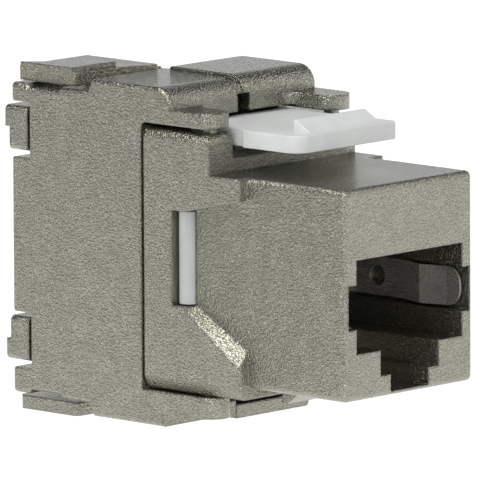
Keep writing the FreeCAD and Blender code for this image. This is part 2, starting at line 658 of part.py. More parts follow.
def make_shield_spring(side, name):
    """Shield spring: a strip in a side window that bows towards the plug."""
    body = new_body(name)
    wall = "window_width / 2"
    line = [  # distance from the middle plane, distance from the front face
        (f"{wall} - spring_thick", "spring_front"),
        (f"{wall} - spring_thick / 2", "spring_front + spring_lift"),
        (f"{wall} - spring_bow", "spring_front + spring_crown"),
        (wall, "spring_flat"),
        (wall, "window_length"),
    ]
    outline = [(f"{side} * ({across})", back) for across, back in line]
    outline += [(f"{side} * ({across} - spring_thick)", back) for across, back in reversed(line)]
    pad(body, "XY_Plane", "port_axis - spring_height / 2", "spring_height", outline)
    fillet(body, "spring_round",
           dict(y="spring_front", z="port_axis - spring_height / 2"),
           dict(y="spring_front", z="port_axis + spring_height / 2"))
    hole_back = "(spring_flat + window_length) / 2"
    start = f"-{wall}" if side == LEFT else f"{wall} - spring_thick"
    pocket(body, "YZ_Plane", start, "spring_thick", (hole_back, "port_axis", "spring_hole"))
    return body


def wing_shell(body, side, rear):
    """Solid outline of a wing, with its outer edges rounded.

    rear holds the outline from the lower wall, round the rear, to the lip.
    """
    start, depth = sideways(side, "seam_gap / 2", HALF_BODY)
    pad(body, "YZ_Plane", start, depth, [
        ("lip_front", LIP_LOW),
        (PANEL_FRONT, LIP_LOW),
        (PANEL_FRONT, LOWER_ARM_LOW),
        ("skirt_front", LOWER_ARM_LOW),
        *rear,
    ])
    fillet(body, "lip_round", dict(y="lip_front", z=rear[-1][1]))
    low, high = rear[0][1], rear[-1][1]
    places = [dict(side=HALF_BODY, z=low), dict(side=HALF_BODY, z=high),
              dict(side=HALF_BODY, y=(rear[-2][0], "wing_length")),
              dict(side=HALF_BODY, y=(rear[1][0], "wing_length"))]
    places += [dict(y=back, z=height) for back, height in rear
               if back == "wing_length" or (back, height) == rear[-2]]
    fillet(body, "wing_round", *places)


def wing_hollow(body, side, above, below):
    """Room inside a wing; above and below are its upper and lower edges, front to back."""
    front = "skirt_front - wing_wall"
    start, depth = sideways(side, "0", f"{HALF_BODY} - wing_wall")
    pocket(body, "YZ_Plane", start, depth, [
        ("lip_front + wing_wall", f"{LIP_LOW} - wing_wall"),
        ("lip_front + wing_wall", above[0][1]),
        *above,
        *reversed(below),
        (front, below[0][1]),
        (front, f"{LIP_LOW} - wing_wall"),
    ])
    pocket(body, "XZ_Plane", "lip_front", "wing_wall",
           centred("seam_notch", LIP_LOW, f"{LIP_LOW} + seam_notch"))


def wing_arms(body, side):
    """Two arms with round ends and the pegs on which the wing turns."""
    hinge = (f"{side} * {HINGE_SIDE}", "hinge_back")
    reach = rectangle(f"{side} * {ARM_SIDE}", f"{side} * {HALF_BODY}", "hinge_back", PANEL_FRONT)
    for low, thick in ((UPPER_ARM_LOW, "upper_arm_thick"), (LOWER_ARM_LOW, "lower_arm_thick")):
        pad(body, "XY_Plane", low, thick, reach)
        pad(body, "XY_Plane", low, thick, (*hinge, "knuckle_radius"))
    pad(body, "XY_Plane", f"{UPPER_ARM_LOW} - upper_peg", "upper_peg + upper_arm_thick / 2",
        (*hinge, "peg_radius"))
    pad(body, "XY_Plane", f"{LOWER_ARM_LOW} + lower_arm_thick / 2", "lower_peg + lower_arm_thick / 2",
        (*hinge, "peg_radius"))
    fillet(body, "arm_fillet",
           dict(side=ARM_SIDE, y="lip_front", z=(LIP_LOW, f"{UPPER_ARM_LOW} + upper_arm_thick")))
    fillet(body, "window_round",
           dict(side=(f"{HALF_BODY} - wing_wall", HALF_BODY), y=PANEL_FRONT, z=UPPER_ARM_LOW))


def cable_mouth(body):
    """Round opening for the cable, half of it in each wing."""
    pocket(body, "XZ_Plane", FINGER_FRONT, "finger_thick", ("0", "cable_height", "cable_radius"))


def finger_band(middle, height):
    """Lower and upper edge of a band round a finger's middle."""
    return f"{middle} - ({height}) / 2", f"{middle} + ({height}) / 2"


def stepped_rear(height, inward):
    """Upper or lower rear outline of the left wing: a step and a hollow, front to back.

    inward is 1 if the inside lies above the outline and -1 if it lies below.
    """
    dip_front = "(wing_length - dip_depth)"
    dip_back = f"({dip_front} + dip_length)"
    step = f"{height} + ({inward}) * lap_step"
    dip = f"{step} + ({inward}) * dip_drop"
    return [(STEP_FRONT, height), (STEP_BACK, step), (dip_front, step),
            (f"{dip_front} + dip_drop", dip), (f"{dip_back} - dip_drop", dip), (dip_back, step),
            ("wing_length", step)]


def make_left_wing():
    """Left wing: its rear is stepped and notched for the laps and fingers of the right wing."""
    body = new_body("left_wing")
    above, below = stepped_rear(WING_TOP, "-1"), stepped_rear("-wing_drop", "1")
    wing_shell(body, LEFT, [("skirt_front", "-wing_drop"), *below, *reversed(above),
                            ("lip_front", WING_TOP)])
    floor, ceiling, room_step = "wing_wall - wing_drop", f"{WING_TOP} - wing_wall", "(lap_step + dip_drop)"
    room_back = f"({STEP_FRONT} - wing_wall)"
    wing_hollow(body, LEFT,
                [(room_back, ceiling), (room_back, f"{ceiling} - {room_step}"),
                 (WALL_BACK, f"{ceiling} - {room_step}")],
                [(room_back, floor), (room_back, f"{floor} + {room_step}"),
                 (WALL_BACK, f"{floor} + {room_step}")])
    wing_arms(body, LEFT)
    start, depth = sideways(LEFT, "0", HALF_BODY)
    for middle in (FINGER_HIGH, "finger_low"):
        low, high = finger_band(middle, "finger_height + 2 * finger_gap")
        pocket(body, "YZ_Plane", start, depth, [
            (f"{FINGER_FRONT} - notch_gap", low),
            ("wing_length - notch_flare", low),
            ("wing_length", f"{low} - notch_flare"),
            ("wing_length", f"{high} + notch_flare"),
            ("wing_length - notch_flare", high),
            (f"{FINGER_FRONT} - notch_gap", high),
        ])
    cable_mouth(body)
    return body


def lap_front(across):
    """Front edge of a lap at a place across: on a circle round the left hinge."""
    return f"(hinge_back + sqrt({LAP_REACH} ^ 2 - ({across} + {HINGE_SIDE}) ^ 2))"


def wing_laps(body, top, low):
    """Laps of the right wing over the left one's top and bottom, and the upper lap's root."""
    side = f"-({HALF_BODY} - lap_inset)"
    front, seam = lap_front(side), lap_front("lap_end")
    for lap_low, end in ((f"{top} - wing_wall", "lap_end"), (low, "wing_wall")):
        places = [f"({side} + ({end} - {side}) * {k} / {LAP_FACETS})" for k in range(LAP_FACETS)]
        pad(body, "XY_Plane", lap_low, "wing_wall", [
            *[(across, lap_front(across)) for across in places],
            (end, lap_front(end)), (end, "wing_length"), (side, "wing_length"),
        ])
    deck = f"{top} - deck_drop"
    pad(body, "XY_Plane", f"{deck} - wing_wall", "deck_drop + wing_wall - root_drop",
        rectangle("seam_gap / 2", "root_width", f"{seam} + wing_wall", "wing_length"))
    fillet(body, "finger_round", dict(x=side, y="wing_length"), dict(x=side, y=front),
           dict(x="lap_end", y=seam))
    corner = "wing_length - pad_margin"
    pad(body, "XY_Plane", top, "pad_proud", [
        (side, corner),
        (side, f"{corner} - pad_length"),
        ("-pad_seam", f"{corner} - pad_length"),
    ])


def make_right_wing():
    """Right wing: laps over the left wing's top and bottom, and two fingers across its rear."""
    body = new_body("right_wing")
    top, low = f"({WING_TOP} + right_rise)", "(-wing_drop - right_drop)"
    deck = f"{top} - deck_drop"
    wing_shell(body, RIGHT, [
        ("skirt_front", low),
        ("wing_length", low),
        ("wing_length", deck),
        (DECK_FRONT, deck),
        (DECK_FRONT, top),
        ("lip_front", top),
    ])
    wing_hollow(body, RIGHT,
                [(f"{DECK_FRONT} - wing_wall", f"{top} - wing_wall"),
                 (f"{DECK_FRONT} - wing_wall", f"{deck} - wing_wall"),
                 (WALL_BACK, f"{deck} - wing_wall")],
                [(WALL_BACK, f"{low} + wing_wall")])
    wing_arms(body, RIGHT)
    wing_laps(body, top, low)
    finger_side = f"({HALF_BODY} - finger_inset)"
    finger_back = f"{FINGER_FRONT} + finger_thick"
    for middle, rise in ((FINGER_HIGH, "1"), ("finger_low", "-1")):
        low, high = finger_band(middle, "finger_height")
        pad(body, "YZ_Plane", f"-{finger_side}", f"{finger_side} + cable_radius",
            rectangle(FINGER_FRONT, finger_back, low, high))
        ends = [dict(x=f"-{finger_side}", z=low), dict(x=f"-{finger_side}", z=high)]
        bulge = f"{middle} + {rise} * (finger_height - bulge_height) / 2"
        low, high = finger_band(bulge, "bulge_height")
        pad(body, "YZ_Plane", f"-{finger_side}", f"{finger_side} - cable_radius / 2",
            rectangle(finger_back, f"{finger_back} + bulge_proud", low, high))
        fillet(body, "finger_round", *ends)
    cable_mouth(body)
    return body


def done(bodies):
    """Lower every piece to the row frame, check it and write it."""
    for body in bodies:
        body.setExpression("Placement.Base.z", cells("-port_axis"))
    DOC.recompute()
    for item in DOC.Objects:
        if {"Invalid", "Error"} & set(item.State):
            raise RuntimeError(f"{item.Label} failed: {item.State}")
    for body in bodies:
        if body.Shape.isNull() or not body.Shape.isValid():
            raise RuntimeError(f"{body.Label} has no valid shape")
    os.makedirs("parts", exist_ok=True)
    for body in bodies:
        body.Shape.exportStep(f"parts/{body.Label}.step")
        box = body.Shape.BoundBox
        print(f"{body.Label:22s} {len(body.Shape.Solids)} solid  {body.Shape.Volume:9.2f} mm3"
              f"  {box.XLength:6.2f} x {box.YLength:6.2f} x {box.ZLength:6.2f}")


BODIES = [make_housing(), make_latch(), make_carrier(), make_board(), make_blade_holder(),
          make_wire_cap(), make_left_wing(), make_right_wing(),
          make_shield_spring(LEFT, "shield_spring_left"),
          make_shield_spring(RIGHT, "shield_spring_right")]
BODIES += [make_contact(index) for index in range(CONTACTS)]
BODIES += [make_blade(index, place) for index, place in enumerate(blade_places())]
done(BODIES)
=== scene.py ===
"""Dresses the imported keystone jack: cast metal, white plastic, sprung strips and a pale studio.

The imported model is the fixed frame, in metres, with the plug opening's middle at the origin.
Every CAD piece but the latch keeps its own mesh, and gets softened edges and a procedural
finish. A latch with a wider, rounder tip stands in for the plain one. The studio is a pale
floor, a pale surround and soft lamps. Sizes are in metres. Colours and tones run from 0 to 1.
"""
import logging
import math
from dataclasses import dataclass, field
from enum import Enum
from typing import Any, Iterator, Union

import bmesh
import bpy
from mathutils import Matrix, Vector


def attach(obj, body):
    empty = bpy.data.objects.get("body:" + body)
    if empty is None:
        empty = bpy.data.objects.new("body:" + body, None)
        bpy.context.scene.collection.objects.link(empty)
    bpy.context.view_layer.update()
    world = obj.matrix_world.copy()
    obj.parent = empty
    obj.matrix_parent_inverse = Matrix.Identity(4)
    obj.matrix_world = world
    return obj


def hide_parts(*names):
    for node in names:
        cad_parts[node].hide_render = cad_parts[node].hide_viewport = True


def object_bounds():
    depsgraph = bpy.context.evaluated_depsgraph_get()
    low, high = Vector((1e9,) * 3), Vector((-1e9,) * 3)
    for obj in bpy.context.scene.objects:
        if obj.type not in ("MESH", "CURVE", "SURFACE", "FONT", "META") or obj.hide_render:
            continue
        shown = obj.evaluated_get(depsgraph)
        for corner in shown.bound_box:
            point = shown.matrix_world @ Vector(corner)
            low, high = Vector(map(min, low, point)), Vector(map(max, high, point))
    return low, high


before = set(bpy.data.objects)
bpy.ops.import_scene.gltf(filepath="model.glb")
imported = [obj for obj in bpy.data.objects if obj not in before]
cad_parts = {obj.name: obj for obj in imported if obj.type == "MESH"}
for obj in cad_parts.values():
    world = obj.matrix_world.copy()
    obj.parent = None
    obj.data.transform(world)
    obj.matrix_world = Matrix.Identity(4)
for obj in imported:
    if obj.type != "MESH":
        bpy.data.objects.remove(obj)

LOG = logging.getLogger("keystone_jack")
MM = 0.001
CAD_BOX = [list(corner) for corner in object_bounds()]

Colour = tuple[float, float, float]
Triple = tuple[float, float, float]
Point = tuple[float, float]
Span = tuple[float, float]
Number = Union[int, float]
Key = Union[int, str]

WHITE: Colour = (1.0, 1.0, 1.0)
BLACK: Colour = (0.0, 0.0, 0.0)

GRAIN_TURN: Triple = (0.5, 0.7, 0.3)
EDGE_RAYS = 4
NORMAL_RAYS = 6

WELD_REACH = 0.0005 * MM
FLAT_BEND = math.radians(0.4)
SHARP_BEND = math.radians(28.0)
EDGE_STEPS = 3
AREA_WEIGHT = 100
ARC_STEPS = 8


class Slot(Enum):
    """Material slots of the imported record."""

    CAST_METAL = "cast_metal"
    WHITE_PLASTIC = "white_plastic"
    DARK_PLASTIC = "dark_plastic"
    GREY_PLASTIC = "grey_plastic"
    BOARD = "board_laminate"
    SPRING_STEEL = "spring_steel"
    GOLD = "gold_contact"
    TIN = "tinned_bronze"


class Body(Enum):
    """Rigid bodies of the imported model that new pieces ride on."""

    LATCH = "latch"


def opaque(colour: Colour) -> tuple[float, float, float, float]:
    """Return a colour with full alpha."""
    return (*colour, 1.0)


def grey(tone: float) -> Colour:
    """Return the grey of a tone."""
    return (tone, tone, tone)


def scaled(colour: Colour, factor: float) -> Colour:
    """Return a colour with each of its channels multiplied by a factor."""
    red, green, blue = colour
    return (factor * red, factor * green, factor * blue)


class Field:
    """A socket whose arithmetic adds Math nodes to its graph."""

    def __init__(self, graph: "Graph", socket: bpy.types.NodeSocket) -> None:
        """Hold a socket and the graph it belongs to."""
        self.graph = graph
        self.socket = socket

    def _math(self, operation: str, *values: "Field | Number") -> "Field":
        """Return the result of one Math node on the given values."""
        return self.graph.node("ShaderNodeMath", {"operation": operation},
                               dict(enumerate(values)))[0]

    def __add__(self, other: "Field | Number") -> "Field":
        """Return self + other."""
        return self._math("ADD", self, other)

    __radd__ = __add__

    def __sub__(self, other: "Field | Number") -> "Field":
        """Return self - other."""
        return self._math("SUBTRACT", self, other)

    def __rsub__(self, other: "Field | Number") -> "Field":
        """Return other - self."""
        return self._math("SUBTRACT", other, self)

    def __mul__(self, other: "Field | Number") -> "Field":
        """Return self * other."""
        return self._math("MULTIPLY", self, other)

    __rmul__ = __mul__

    def highest(self, other: "Field | Number") -> "Field":
        """Return the larger of self and other."""
        return self._math("MAXIMUM", self, other)

    def ramp(self, span: Span) -> "Field":
        """Return 0 below a span, 1 above it and a smooth rise inside it.

        Args:
            span: values where the rise starts and where it ends.

        Returns:
            The smoothed value.
        """
        sockets = {"Value": self, "From Min": span[0], "From Max": span[1]}
        return self.graph.node("ShaderNodeMapRange", {"interpolation_type": "SMOOTHSTEP"},
                               sockets)["Result"]


class Outputs:
    """Outputs of one node, picked by name or place and wrapped as fields."""

    def __init__(self, graph: "Graph", node: bpy.types.Node) -> None:
        """Hold a node and its graph."""
        self.graph = graph
        self.node = node

    def __getitem__(self, key: Key) -> Field:
        """Return one output."""
        return Field(self.graph, self.node.outputs[key])


class Graph:
    """A node tree under construction."""

    def __init__(self, tree: bpy.types.NodeTree) -> None:
        """Start from an empty tree."""
        self.tree = tree
        tree.nodes.clear()

    def node(self, kind: str, settings: dict[str, Any] | None = None,
             sockets: dict[Key, Any] | None = None) -> Outputs:
        """Add a node.

        Args:
            kind: the node's type name.
            settings: properties of the node, set first.
            sockets: value or field for each input, by name or place.

        Returns:
            The node's outputs.
        """
        made = self.tree.nodes.new(kind)
        for name, value in (settings or {}).items():
            setattr(made, name, value)
        for key, value in (sockets or {}).items():
            if isinstance(value, Field):
                self.tree.links.new(value.socket, made.inputs[key])
            else:
                made.inputs[key].default_value = value
        return Outputs(self, made)

    def spot(self) -> Field:
        """Return the point on the piece, in the frame's metres."""
        return self.node("ShaderNodeTexCoord")["Object"]

    def turned_spot(self) -> Field:
        """Return the point on the piece in axes that no face of it lies along."""
        return self.node("ShaderNodeMapping", None,
                         {"Vector": self.spot(), "Rotation": GRAIN_TURN})["Vector"]

    def vector_math(self, operation: str, first: Field, second: Field | Triple) -> Outputs:
        """Return the outputs of a Vector Math node."""
        return self.node("ShaderNodeVectorMath", {"operation": operation}, {0: first, 1: second})

    def along(self, vector: Field, axis: str) -> Field:
        """Return a vector's part along X, Y or Z."""
        return self.node("ShaderNodeSeparateXYZ", None, {0: vector})[axis]

    def noise(self, grain: float, detail: float = 2.0, roughness: float = 0.5,
              at: Field | None = None) -> Field:
        """Return a noise between 0 and 1.

        Args:
            grain: size of its lumps in metres.
            detail: octaves added.
            roughness: strength of the finer octaves.
            at: point to read it at, or none for the turned point on the piece.

        Returns:
            The noise value.
        """
        sockets = {"Vector": at or self.turned_spot(), "Scale": 1.0 / grain, "Detail": detail,
                   "Roughness": roughness}
        return self.node("ShaderNodeTexNoise", None, sockets)["Fac"]

    def blend(self, amount: Field | Number, first: Field | Colour,
              second: Field | Colour) -> Field:
        """Return a mix of two colours.

        Args:
            amount: share of the second colour.
            first: colour at 0.
            second: colour at 1.

        Returns:
            The mixed colour.
        """
        colours = [value if isinstance(value, Field) else opaque(value)
                   for value in (first, second)]
        return self.node("ShaderNodeMix", {"data_type": "RGBA"},
                         {0: amount, 6: colours[0], 7: colours[1]})[2]

    def rounded(self, radius: float, rays: int) -> Field:
        """Return the surface's normal as if its edges were rounded.

        Args:
            radius: radius of the rounding in metres.
            rays: rays sent out to find the edges.

        Returns:
            The rounded normal.
        """
        return self.node("ShaderNodeBevel", {"samples": rays}, {"Radius": radius})["Normal"]

    def edge(self, radius: float, bend: Span) -> Field:
        """Return a mask that is 1 on outer and inner edges.

        Args:
            radius: how far from an edge the mask reaches, in metres.
            bend: bends of the surface where the mask starts and where it is full.

        Returns:
            The mask.
        """
        plain = self.node("ShaderNodeNewGeometry")["Normal"]
        agreement = self.vector_math("DOT_PRODUCT", self.rounded(radius, EDGE_RAYS), plain)
        return (1.0 - agreement["Value"]).ramp(bend)

    def bump(self, height: Field, depth: float, over: Field | None = None) -> Field:
        """Return a normal bent by a height.

        Args:
            height: value between 0 and 1.
            depth: metres between 0 and 1.
            over: normal to add to, or none for the surface's own.

        Returns:
            The bent normal.
        """
        sockets: dict[Key, Any] = {"Height": height, "Distance": depth}
        if over is not None:
            sockets["Normal"] = over
        return self.node("ShaderNodeBump", None, sockets)["Normal"]

    def ray(self, kind: str) -> Field:
        """Return 1 for rays of one kind, such as Camera, and 0 for the others."""
        return self.node("ShaderNodeLightPath")[f"Is {kind} Ray"]

    def seen(self) -> Field:
        """Return 1 for rays from the eye, a mirror or a glass, and 0 for the light's own."""
        return self.ray("Camera").highest(self.ray("Glossy")).highest(self.ray("Transmission"))

    def choice(self, amount: Field | Number, first: Outputs, second: Outputs) -> Outputs:
        """Return a mix of two shaders, where the amount is the second one's share."""
        return self.node("ShaderNodeMixShader", None, {0: amount, 1: first[0], 2: second[0]})

    def surface(self, **sockets: Any) -> None:
        """Close a material's graph with a Principled shader.

        Args:
            **sockets: value or field for each input, with _ for a space in its name.
        """
        named = {key.replace("_", " "): value for key, value in sockets.items()}
        shader = self.node("ShaderNodeBsdfPrincipled", None, named)
        self.node("ShaderNodeOutputMaterial", None, {"Surface": shader["BSDF"]})


def new_material(name: str) -> tuple[bpy.types.Material, Graph]:
    """Make an empty node material.

    Args:
        name: the material's name.

    Returns:
        The material and its graph.
    """
    material = bpy.data.materials.new(name)
    material.use_nodes = True
    return material, Graph(material.node_tree)


@dataclass(frozen=True)
class SandblastedNickel:
    """Satin nickel over a sandblasted zinc casting."""

    colour: Colour = (0.35, 0.345, 0.285)
    pale: Colour = (0.6, 0.6, 0.52)
    dark: Colour = (0.06, 0.056, 0.04)
    # Darker speckled colours painted on the edges as shade.
    edge_shade_pale: Colour = (0.4, 0.4, 0.35)
    edge_shade_dark: Colour = (0.04, 0.036, 0.028)
    metallic: float = 0.94
    roughness: float = 0.08
    grain: float = 0.09 * MM
    grain_crispness: float = 0.6
    grain_share: float = 0.7
    grain_depth: float = 0.05 * MM
    pits: float = 0.17 * MM
    pit_share: float = 0.3
    pit_depth: float = 0.09 * MM
    speckle_span: Span = (0.4, 0.64)
    speckle_share: float = 0.25
    speckle_roughness: float = 0.04
    ripple: float = 1.6 * MM
    ripple_depth: float = 0.02 * MM
    ripple_span: Span = (0.35, 0.75)
    ripple_share: float = 0.12
    edge_reach: float = 0.34 * MM
    edge_bend: Span = (0.006, 0.07)
    # Share of the painted shade on the edges.
    edge_share: float = 0.75
    edge_pitting: float = 0.35
    edge_polish: float = 0.06
    rounding: float = 0.27 * MM

    def material(self) -> bpy.types.Material:
        """Build the speckled grain, the soft ripples, and smoother edges darkened by painted
        shade.

        Returns:
            The material.
        """
        made, graph = new_material("sandblasted_nickel")
        grain = graph.noise(self.grain, detail=1.0, roughness=self.grain_crispness)
        pits = graph.noise(self.pits, detail=1.0)
        ripple = graph.noise(self.ripple)
        edges = graph.edge(self.edge_reach, self.edge_bend)
        speckle = (grain * self.grain_share + pits * self.pit_share).ramp(self.speckle_span)
        body = graph.blend(speckle, self.dark, self.pale)
        body = graph.blend(self.speckle_share, self.colour, body)
        body = graph.blend(ripple.ramp(self.ripple_span) * self.ripple_share, body, self.pale)
        # Painted shade on outer and inner edges: a darker speckled tone for the dark top the
        # rounded edges reflect and for the shade in creases.
        toned = graph.blend(speckle, self.edge_shade_dark, self.edge_shade_pale)
        body = graph.blend(edges * self.edge_share, body, toned)
        normal = graph.bump(ripple, self.ripple_depth, graph.rounded(self.rounding, NORMAL_RAYS))
        normal = graph.bump(pits * (1.0 + edges * self.edge_pitting), self.pit_depth, normal)
        normal = graph.bump(grain, self.grain_depth, normal)
        rough = self.roughness - edges * self.edge_polish + speckle * self.speckle_roughness
        graph.surface(Base_Color=body, Metallic=self.metallic, Roughness=rough, Normal=normal)
        return made


@dataclass(frozen=True)
class MouldedPlastic:
    """Injection-moulded plastic with a faint mould grain and rubbed edges."""

    name: str
    colour: Colour
    edge_colour: Colour
    glow: float = 0.0
    glow_radius: Triple = (0.8, 0.9, 1.0)
    glow_scale: float = 0.6 * MM
    roughness: float = 0.38
    mottle: float = 2.4 * MM
    mottle_span: Span = (0.3, 0.7)
    mottle_shade: float = 0.93
    mottle_roughness: float = 0.08
    pores: float = 0.12 * MM
    pore_depth: float = 0.002 * MM
    edge_reach: float = 0.25 * MM
    edge_bend: Span = (0.03, 0.3)
    edge_share: float = 0.5
    edge_polish: float = 0.08

    def material(self) -> bpy.types.Material:
        """Build the mottled body, its pores and its rubbed edges.

        Returns:
            The material.
        """
        made, graph = new_material(self.name)
        mottle = graph.noise(self.mottle, detail=3.0)
        pores = graph.noise(self.pores, detail=1.0)
        edges = graph.edge(self.edge_reach, self.edge_bend)
        shaded = scaled(self.colour, self.mottle_shade)
        body = graph.blend(mottle.ramp(self.mottle_span), shaded, self.colour)
        body = graph.blend(edges * self.edge_share, body, self.edge_colour)
        rough = self.roughness + mottle * self.mottle_roughness - edges * self.edge_polish
        graph.surface(Base_Color=body, Roughness=rough, Subsurface_Weight=self.glow,
                      Subsurface_Radius=self.glow_radius, Subsurface_Scale=self.glow_scale,
                      Normal=graph.bump(pores, self.pore_depth))
        return made


@dataclass(frozen=True)
class RolledStrip:
    """Rolled or plated strip metal with fine draw lines along the strip."""

    name: str
    colour: Colour
    toned: Colour
    metallic: float = 0.6
    roughness: float = 0.22
    lines: float = 0.05 * MM
    line_stretch: Triple = (1.0, 0.06, 1.0)
    line_depth: float = 0.0015 * MM
    line_roughness: float = 0.12
    clouds: float = 0.9 * MM
    cloud_span: Span = (0.35, 0.7)

    def material(self) -> bpy.types.Material:
        """Build the draw lines and the worn clouds.

        Returns:
            The material.
        """
        made, graph = new_material(self.name)
        drawn = graph.vector_math("MULTIPLY", graph.spot(), self.line_stretch)["Vector"]
        lines = graph.noise(self.lines, at=drawn)
        clouds = graph.noise(self.clouds)
        body = graph.blend(clouds.ramp(self.cloud_span), self.colour, self.toned)
        graph.surface(Base_Color=body, Metallic=self.metallic,
                      Roughness=self.roughness + lines * self.line_roughness,
                      Normal=graph.bump(lines, self.line_depth))
        return made


@dataclass(frozen=True)
class BoardLaminate:
    """Solder mask over glass laminate."""

    colour: Colour = (0.02, 0.11, 0.05)
    pale_factor: float = 1.5
    roughness: float = 0.25
    weave: float = 0.35 * MM
    weave_span: Span = (0.4, 0.6)
    weave_roughness: float = 0.1
    weave_depth: float = 0.003 * MM

    def material(self) -> bpy.types.Material:
        """Build the mask with the weave showing through.

        Returns:
            The material.
        """
        made, graph = new_material("board_laminate")
        weave = graph.noise(self.weave, detail=1.0)
        pale = scaled(self.colour, self.pale_factor)
        body = graph.blend(weave.ramp(self.weave_span), self.colour, pale)
        graph.surface(Base_Color=body, Roughness=self.roughness + weave * self.weave_roughness,
                      Normal=graph.bump(weave, self.weave_depth))
        return made


Finish = Union[SandblastedNickel, MouldedPlastic, RolledStrip, BoardLaminate]

LATCH_PLASTIC = MouldedPlastic("white_plastic", colour=(0.83, 0.855, 0.84),
                               edge_colour=(0.88, 0.9, 0.885), glow=0.25)
# The latch's white plastic made darker for the blade holder, as painted shade for the recess it
# sits in.
SHADED_HOLDER_PLASTIC = MouldedPlastic("holder_plastic_painted_shade", colour=(0.62, 0.645, 0.63),
                                edge_colour=(0.7, 0.72, 0.71), glow=0.1)
CARRIER_PLASTIC = MouldedPlastic("dark_plastic", colour=(0.035, 0.035, 0.038),
                                 edge_colour=(0.07, 0.07, 0.075))
CAP_PLASTIC = MouldedPlastic("grey_plastic", colour=(0.42, 0.43, 0.44),
                             edge_colour=(0.5, 0.51, 0.52))
SPRING_STRIP = RolledStrip("spring_steel", colour=(0.56, 0.55, 0.52), toned=(0.44, 0.43, 0.4))
CONTACT_STRIP = RolledStrip("gold_contact", colour=(0.85, 0.6, 0.24), toned=(0.75, 0.52, 0.2))
BLADE_STRIP = RolledStrip("tinned_bronze", colour=(0.62, 0.6, 0.56), toned=(0.5, 0.46, 0.4))


def add_object(name: str, data: bpy.types.ID) -> bpy.types.Object:
    """Put an object in the scene.

    Args:
        name: the object's name.
        data: its mesh, lamp or camera.

    Returns:
        The object.
    """
    made = bpy.data.objects.new(name, data)
    bpy.context.scene.collection.objects.link(made)
    return made


def soften(piece: bpy.types.Object, radius: float) -> None:
    """Round the sharp edges of a piece with modifiers.

    Args:
        piece: the piece to soften.
        radius: width of the rounding in metres.
    """
    for face in piece.data.polygons:
        face.use_smooth = True
    weld = piece.modifiers.new("weld", "WELD")
    weld.merge_threshold = WELD_REACH
    flat = piece.modifiers.new("flat", "DECIMATE")
    flat.decimate_type = "DISSOLVE"
    flat.angle_limit = FLAT_BEND
    bevel = piece.modifiers.new("edges", "BEVEL")
    bevel.width = radius
    bevel.segments = EDGE_STEPS
    bevel.limit_method = "ANGLE"
    bevel.angle_limit = SHARP_BEND
    bevel.use_clamp_overlap = True
    bevel.miter_outer = "MITER_ARC"
    normals = piece.modifiers.new("normals", "WEIGHTED_NORMAL")
    normals.mode = "FACE_AREA"
    normals.weight = AREA_WEIGHT


@dataclass
class NodeGroup:
    """CAD nodes that share a slot, a finish and an edge rounding."""

    names: tuple[str, ...]
    slot: Slot
    finish: Finish
    edge: float

    def dress(self) -> Iterator[bpy.types.Object]:
        """Give every node its finish and soft edges.

        Yields:
            The dressed pieces.
        """
        material = self.finish.material()
        for name in self.names:
            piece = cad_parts[name]
            piece.data.materials.clear()
            piece.data.materials.append(material)
            soften(piece, self.edge)
            yield piece


def arc(centre: Point, radius: float, start: float, end: float) -> list[Point]:
    """Return points on an arc.

    Args:
        centre: middle of the arc.
        radius: its radius.
        start: angle of the first point, in degrees.
        end: angle of the last point.

    Returns:
        The points in order.
    """
    angles = (math.radians(start + (end - start) * k / ARC_STEPS) for k in range(ARC_STEPS + 1))
    return [(centre[0] + radius * math.cos(angle), centre[1] + radius * math.sin(angle))
            for angle in angles]


def prism(form: bmesh.types.BMesh, outline: list[Point], low: float, high: float,
          upright: bool = True) -> None:
    """Add a closed prism to a mesh under construction.

    Args:
        form: the mesh.
        outline: corners of its end, as (x, y) when upright and as (y, z) when it lies along X.
        low: where it starts on the third axis.
        high: where it ends.
        upright: whether it stands along Z.
    """
    rings = [[form.verts.new((a, b, level) if upright else (level, a, b)) for a, b in outline]
             for level in (low, high)]
    for ring in rings:
        form.faces.new(ring)
    for k, corner in enumerate(rings[0]):
        following = (k + 1) % len(outline)
        form.faces.new((corner, rings[0][following], rings[1][following], rings[1][k]))


